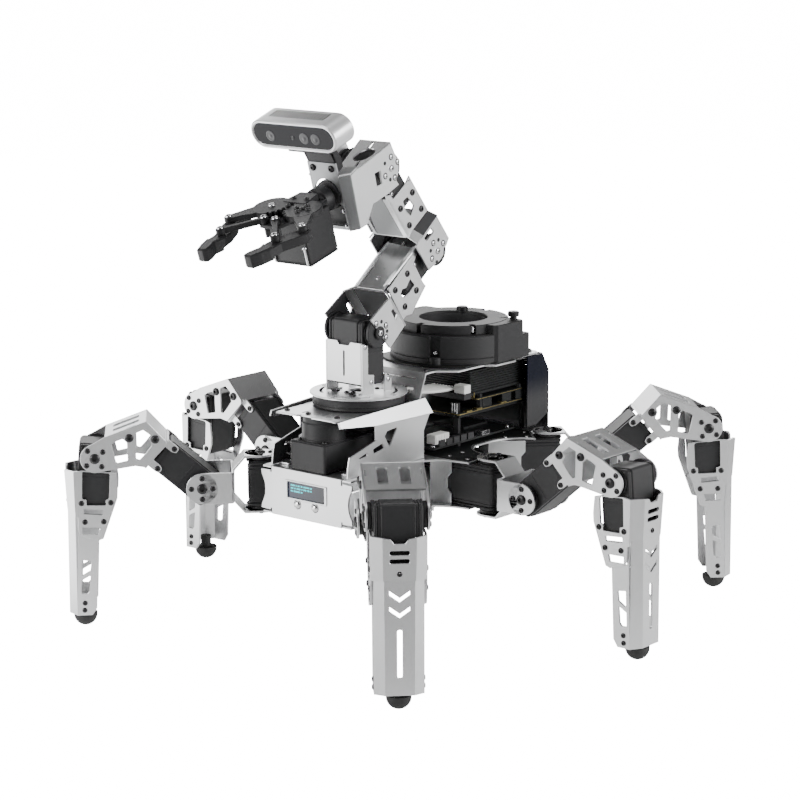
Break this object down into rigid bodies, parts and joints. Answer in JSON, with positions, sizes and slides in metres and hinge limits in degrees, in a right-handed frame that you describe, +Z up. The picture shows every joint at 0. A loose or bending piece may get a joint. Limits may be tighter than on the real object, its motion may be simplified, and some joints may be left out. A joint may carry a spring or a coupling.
{
  "type": "hexapod walking robot",
  "caption": "Six-legged walking robot of bent sheet metal, with a jointed arm, a gripper, a depth camera and a round ranging sensor on its decks.",
  "frame": {"origin": "on the ground under the middle of the robot", "axes": "+X to the robot's front, where the gripper points; +Y to its left; +Z up"},
  "size_m": [0.4486, 0.4868, 0.4163],
  "materials": {
    "aluminium_sheet": "satin, fine bead-blasted grain",
    "servo_black": "fine moulded texture",
    "drum_black": "fine moulded texture",
    "board_black": "dark circuit board and module",
    "black_metal": "black anodised, satin",
    "foot_rubber": "matt rubber",
    "button_metal": "polished domes",
    "camera_silver": "satin anodised",
    "screw_black": "black oxide",
    "screw_silver": "plated steel",
    "gold_contact": "gold plated",
    "cover_smoked": "smoked, glossy",
    "lens_glass": "glossy black window",
    "display_glow": "lit marks on a dark display",
    "connector_white": "white moulded"
  },
  "bodies": {
    "chassis": {"chassis_lower_plate": "aluminium_sheet", "chassis_upper_plate": "aluminium_sheet", "front_panel": "aluminium_sheet", "arm_deck": "aluminium_sheet", "sensor_drum": "drum_black", "electronics_stack": "board_black", "arm_yaw_drive": "servo_black", "front_left_coxa_servo": "servo_black", "middle_left_coxa_servo": "servo_black", "rear_left_coxa_servo": "servo_black", "rear_right_coxa_servo": "servo_black", "middle_right_coxa_servo": "servo_black", "front_right_coxa_servo": "servo_black"},
    "front_left_coxa": {"front_left_coxa_bracket": "aluminium_sheet"},
    "front_left_femur": {"front_left_femur_servo": "servo_black", "front_left_femur_bracket": "aluminium_sheet"},
    "front_left_tibia": {"front_left_tibia_shell": "aluminium_sheet", "front_left_foot": "foot_rubber"},
    "middle_left_coxa": {"middle_left_coxa_bracket": "aluminium_sheet"},
    "middle_left_femur": {"middle_left_femur_servo": "servo_black", "middle_left_femur_bracket": "aluminium_sheet"},
    "middle_left_tibia": {"middle_left_tibia_shell": "aluminium_sheet", "middle_left_foot": "foot_rubber"},
    "rear_left_coxa": {"rear_left_coxa_bracket": "aluminium_sheet"},
    "rear_left_femur": {"rear_left_femur_servo": "servo_black", "rear_left_femur_bracket": "aluminium_sheet"},
    "rear_left_tibia": {"rear_left_tibia_shell": "aluminium_sheet", "rear_left_foot": "foot_rubber"},
    "rear_right_coxa": {"rear_right_coxa_bracket": "aluminium_sheet"},
    "rear_right_femur": {"rear_right_femur_servo": "servo_black", "rear_right_femur_bracket": "aluminium_sheet"},
    "rear_right_tibia": {"rear_right_tibia_shell": "aluminium_sheet", "rear_right_foot": "foot_rubber"},
    "middle_right_coxa": {"middle_right_coxa_bracket": "aluminium_sheet"},
    "middle_right_femur": {"middle_right_femur_servo": "servo_black", "middle_right_femur_bracket": "aluminium_sheet"},
    "middle_right_tibia": {"middle_right_tibia_shell": "aluminium_sheet", "middle_right_foot": "foot_rubber"},
    "front_right_coxa": {"front_right_coxa_bracket": "aluminium_sheet"},
    "front_right_femur": {"front_right_femur_servo": "servo_black", "front_right_femur_bracket": "aluminium_sheet"},
    "front_right_tibia": {"front_right_tibia_shell": "aluminium_sheet", "front_right_foot": "foot_rubber"},
    "button_left": {"button_left": "button_metal"},
    "button_right": {"button_right": "button_metal"},
    "arm_base": {"turntable": "aluminium_sheet", "shoulder_servo": "servo_black"},
    "upper_arm": {"upper_arm_bracket": "aluminium_sheet", "elbow_servo": "servo_black"},
    "forearm": {"forearm_bracket": "aluminium_sheet", "wrist_servo": "servo_black"},
    "wrist": {"wrist_box": "aluminium_sheet", "depth_camera": "camera_silver"},
    "gripper": {"gripper_palm": "servo_black"},
    "left_drive": {"left_drive_link": "black_metal"},
    "left_follower": {"left_follower_link": "black_metal"},
    "left_tip": {"left_fingertip": "black_metal"},
    "right_drive": {"right_drive_link": "black_metal"},
    "right_follower": {"right_follower_link": "black_metal"},
    "right_tip": {"right_fingertip": "black_metal"}
  },
  "joints": [
    {"name": "front_left_yaw", "type": "hinge", "parent": "chassis", "child": "front_left_coxa", "pos_m": [0.1055, 0.064, 0.1147], "axis": [0, 0, 1], "range_deg": [-40, 40]},
    {"name": "front_left_lift", "type": "hinge", "parent": "front_left_coxa", "child": "front_left_femur", "pos_m": [0.13859, 0.09709, 0.1147], "axis": [0.7071, -0.7071, 0], "range_deg": [-45, 50]},
    {"name": "front_left_knee", "type": "hinge", "parent": "front_left_femur", "child": "front_left_tibia", "pos_m": [0.19771, 0.15621, 0.1411], "axis": [0.7071, -0.7071, 0], "range_deg": [-35, 60]},
    {"name": "middle_left_yaw", "type": "hinge", "parent": "chassis", "child": "middle_left_coxa", "pos_m": [0, 0.0885, 0.1147], "axis": [0, 0, 1], "range_deg": [-40, 40]},
    {"name": "middle_left_lift", "type": "hinge", "parent": "middle_left_coxa", "child": "middle_left_femur", "pos_m": [0, 0.1353, 0.1147], "axis": [1, 0, 0], "range_deg": [-45, 50]},
    {"name": "middle_left_knee", "type": "hinge", "parent": "middle_left_femur", "child": "middle_left_tibia", "pos_m": [0, 0.2189, 0.1411], "axis": [1, 0, 0], "range_deg": [-35, 60]},
    {"name": "rear_left_yaw", "type": "hinge", "parent": "chassis", "child": "rear_left_coxa", "pos_m": [-0.1055, 0.064, 0.1147], "axis": [0, 0, 1], "range_deg": [-40, 40]},
    {"name": "rear_left_lift", "type": "hinge", "parent": "rear_left_coxa", "child": "rear_left_femur", "pos_m": [-0.13859, 0.09709, 0.1147], "axis": [0.7071, 0.7071, 0], "range_deg": [-45, 50]},
    {"name": "rear_left_knee", "type": "hinge", "parent": "rear_left_femur", "child": "rear_left_tibia", "pos_m": [-0.19771, 0.15621, 0.1411], "axis": [0.7071, 0.7071, 0], "range_deg": [-35, 60]},
    {"name": "rear_right_yaw", "type": "hinge", "parent": "chassis", "child": "rear_right_coxa", "pos_m": [-0.1055, -0.064, 0.1147], "axis": [0, 0, 1], "range_deg": [-40, 40]},
    {"name": "rear_right_lift", "type": "hinge", "parent": "rear_right_coxa", "child": "rear_right_femur", "pos_m": [-0.13859, -0.09709, 0.1147], "axis": [-0.7071, 0.7071, 0], "range_deg": [-45, 50]},
    {"name": "rear_right_knee", "type": "hinge", "parent": "rear_right_femur", "child": "rear_right_tibia", "pos_m": [-0.19771, -0.15621, 0.1411], "axis": [-0.7071, 0.7071, 0], "range_deg": [-35, 60]},
    {"name": "middle_right_yaw", "type": "hinge", "parent": "chassis", "child": "middle_right_coxa", "pos_m": [0, -0.0885, 0.1147], "axis": [0, 0, 1], "range_deg": [-40, 40]},
    {"name": "middle_right_lift", "type": "hinge", "parent": "middle_right_coxa", "child": "middle_right_femur", "pos_m": [0, -0.1353, 0.1147], "axis": [-1, 0, 0], "range_deg": [-45, 50]},
    {"name": "middle_right_knee", "type": "hinge", "parent": "middle_right_femur", "child": "middle_right_tibia", "pos_m": [0, -0.2189, 0.1411], "axis": [-1, 0, 0], "range_deg": [-35, 60]},
    {"name": "front_right_yaw", "type": "hinge", "parent": "chassis", "child": "front_right_coxa", "pos_m": [0.1055, -0.064, 0.1147], "axis": [0, 0, 1], "range_deg": [-40, 40]},
    {"name": "front_right_lift", "type": "hinge", "parent": "front_right_coxa", "child": "front_right_femur", "pos_m": [0.13859, -0.09709, 0.1147], "axis": [-0.7071, -0.7071, 0], "range_deg": [-45, 50]},
    {"name": "front_right_knee", "type": "hinge", "parent": "front_right_femur", "child": "front_right_tibia", "pos_m": [0.19771, -0.15621, 0.1411], "axis": [-0.7071, -0.7071, 0], "range_deg": [-35, 60]},
    {"name": "button_left_press", "type": "slide", "parent": "chassis", "child": "button_left", "axis": [-1, 0, 0], "range_m": [0, 0.0012], "stiffness_N_per_m": 400},
    {"name": "button_right_press", "type": "slide", "parent": "chassis", "child": "button_right", "axis": [-1, 0, 0], "range_m": [0, 0.0012], "stiffness_N_per_m": 400},
    {"name": "arm_turn", "type": "hinge", "parent": "chassis", "child": "arm_base", "pos_m": [0.0588, 0, 0.189], "axis": [0, 0, 1], "range_deg": [-120, 120]},
    {"name": "shoulder_bend", "type": "hinge", "parent": "arm_base", "child": "upper_arm", "pos_m": [0.0613, 0, 0.2388], "axis": [0, 1, 0], "range_deg": [-15, 60]},
    {"name": "elbow_bend", "type": "hinge", "parent": "upper_arm", "child": "forearm", "pos_m": [-0.0101, 0, 0.2949], "axis": [0, -1, 0], "range_deg": [-30, 60]},
    {"name": "wrist_bend", "type": "hinge", "parent": "forearm", "child": "wrist", "pos_m": [0.0467, 0, 0.3663], "axis": [0, 1, 0], "range_deg": [-60, 45]},
    {"name": "gripper_roll", "type": "hinge", "parent": "wrist", "child": "gripper", "pos_m": [0.13702, 0, 0.33416], "axis": [0.9548, 0, -0.2974], "range_deg": [-120, 120]},
    {"name": "grip", "type": "hinge", "parent": "gripper", "child": "left_drive", "pos_m": [0.1394, 0.0156, 0.3418], "axis": [0.2974, 0, 0.9548], "range_deg": [-29, 25]},
    {"name": "right_drive_turn", "type": "hinge", "parent": "gripper", "child": "right_drive", "pos_m": [0.1394, -0.0156, 0.3418], "axis": [0.2974, 0, 0.9548], "range_deg": [-25, 29]},
    {"name": "left_follower_turn", "type": "hinge", "parent": "gripper", "child": "left_follower", "pos_m": [0.15907, 0.0058, 0.33567], "axis": [0.2974, 0, 0.9548], "range_deg": [-29, 25]},
    {"name": "right_follower_turn", "type": "hinge", "parent": "gripper", "child": "right_follower", "pos_m": [0.15907, -0.0058, 0.33567], "axis": [0.2974, 0, 0.9548], "range_deg": [-25, 29]},
    {"name": "left_tip_turn", "type": "hinge", "parent": "left_drive", "child": "left_tip", "pos_m": [0.16384, 0.0376, 0.33419], "axis": [0.2974, 0, 0.9548], "range_deg": [-25, 29]},
    {"name": "right_tip_turn", "type": "hinge", "parent": "right_drive", "child": "right_tip", "pos_m": [0.16384, -0.0376, 0.33419], "axis": [0.2974, 0, 0.9548], "range_deg": [-29, 25]}
  ],
  "couplings": [
    {"joint": "right_drive_turn", "follows": "grip", "ratio": -1},
    {"joint": "left_follower_turn", "follows": "grip", "ratio": 1},
    {"joint": "right_follower_turn", "follows": "grip", "ratio": -1},
    {"joint": "left_tip_turn", "follows": "grip", "ratio": -1},
    {"joint": "right_tip_turn", "follows": "grip", "ratio": 1}
  ]
}
